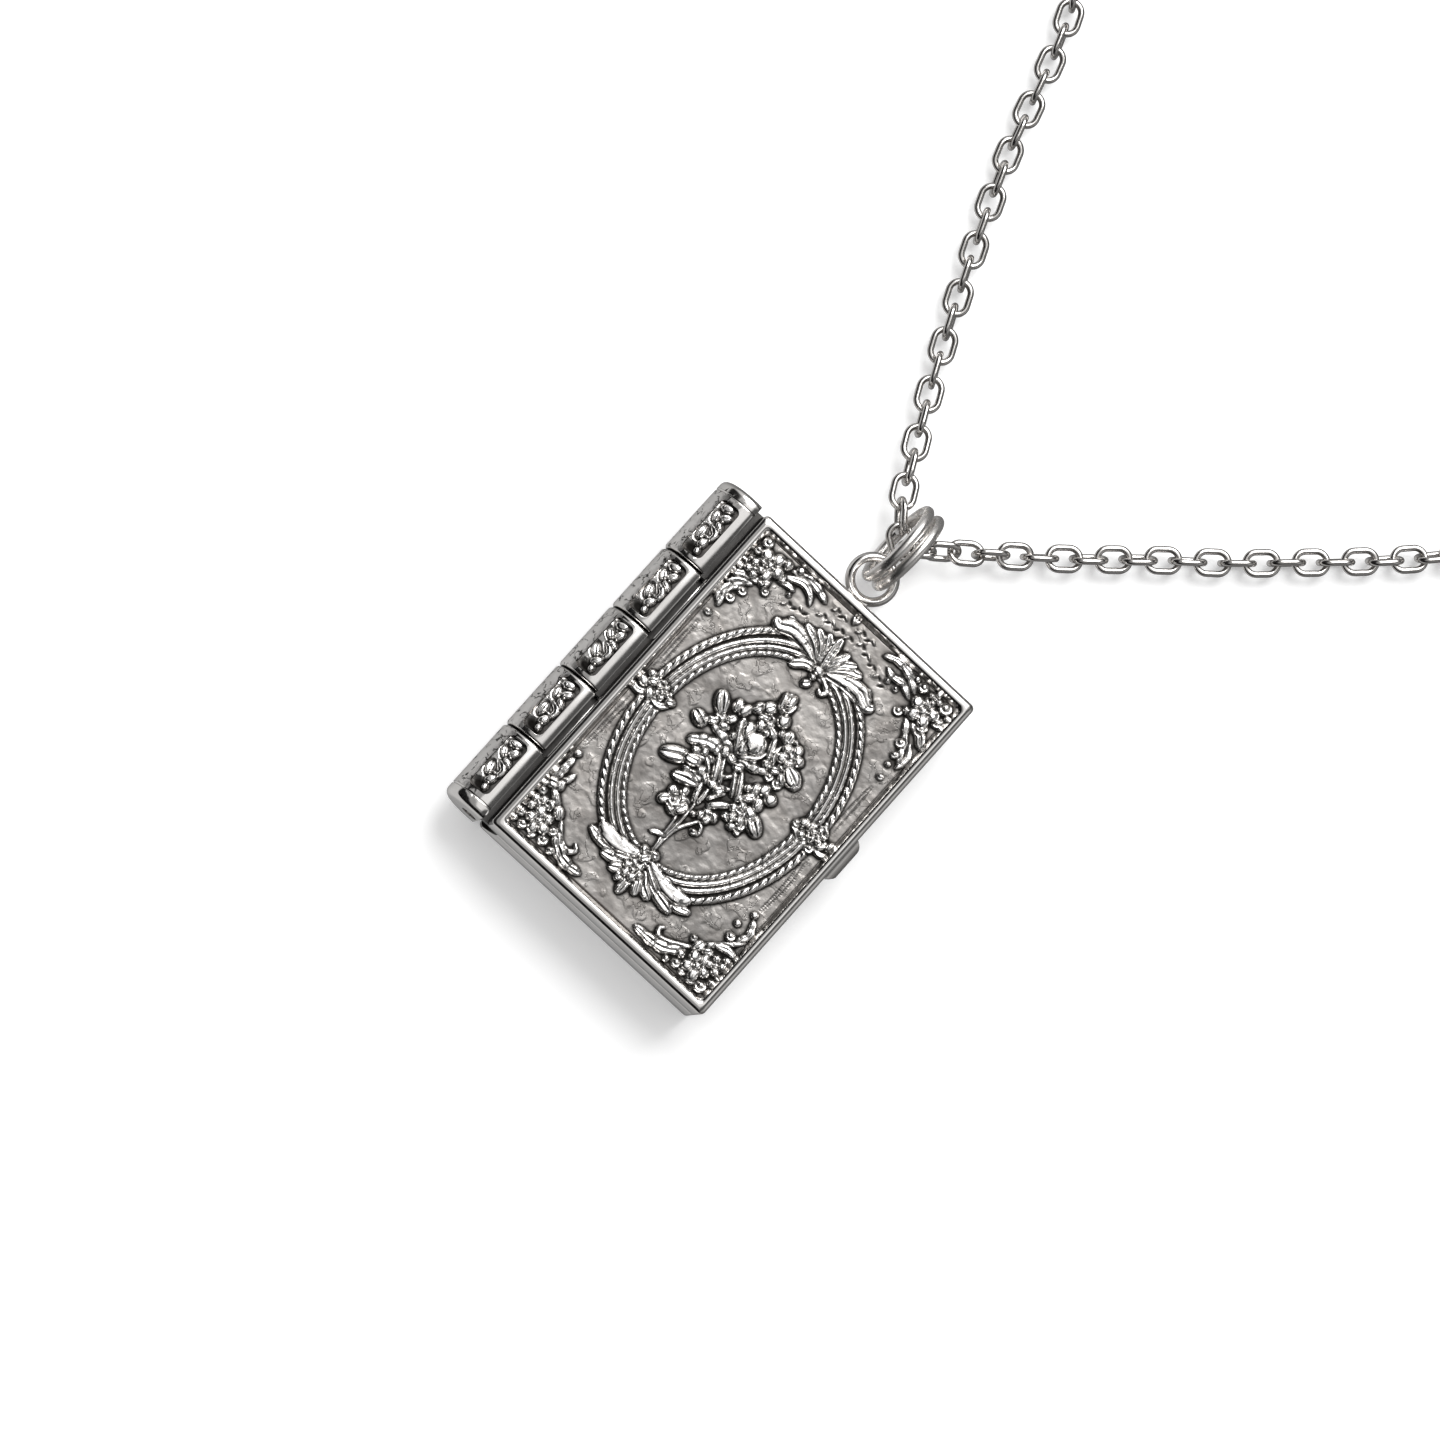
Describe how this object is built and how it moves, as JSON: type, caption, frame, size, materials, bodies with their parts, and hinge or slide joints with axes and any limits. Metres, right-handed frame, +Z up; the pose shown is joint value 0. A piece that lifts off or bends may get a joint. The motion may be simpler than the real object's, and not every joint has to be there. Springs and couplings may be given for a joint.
{
  "type": "book locket pendant on a cable chain necklace",
  "caption": "Book-shaped locket with embossed floral covers, a hinged spine that opens, jump rings and a necklace chain.",
  "frame": {"origin": "centre of the back cover's flat face, on which the closed locket lies", "axes": "+X from the spine to the fore edge, +Y along the spine to the eyelet and chain, +Z up through the covers"},
  "size_m": [0.1084, 0.2018, 0.0072],
  "materials": {
    "case_silver": "polished antique silver plate",
    "embossed_silver": "satin antique silver plate with dark recesses",
    "pin_steel": "drawn wire",
    "ring_silver": "polished silver plate",
    "chain_silver": "polished silver plate"
  },
  "bodies": {
    "back": {"back_case": "case_silver", "spine_panel_2": "embossed_silver", "spine_panel_4": "embossed_silver", "hinge_pin": "pin_steel", "jump_ring_a": "ring_silver", "jump_ring_b": "ring_silver", "chain_left": "chain_silver", "chain_right": "chain_silver", "clasp": "chain_silver"},
    "front": {"front_case": "case_silver", "front_panel": "embossed_silver", "spine_panel_1": "embossed_silver", "spine_panel_3": "embossed_silver", "spine_panel_5": "embossed_silver"}
  },
  "joints": [
    {"name": "cover_hinge", "type": "hinge", "parent": "back", "child": "front", "pos_m": [-0.0115, 0, 0.0029], "axis": [0, -1, 0], "range_deg": [0, 175]}
  ]
}
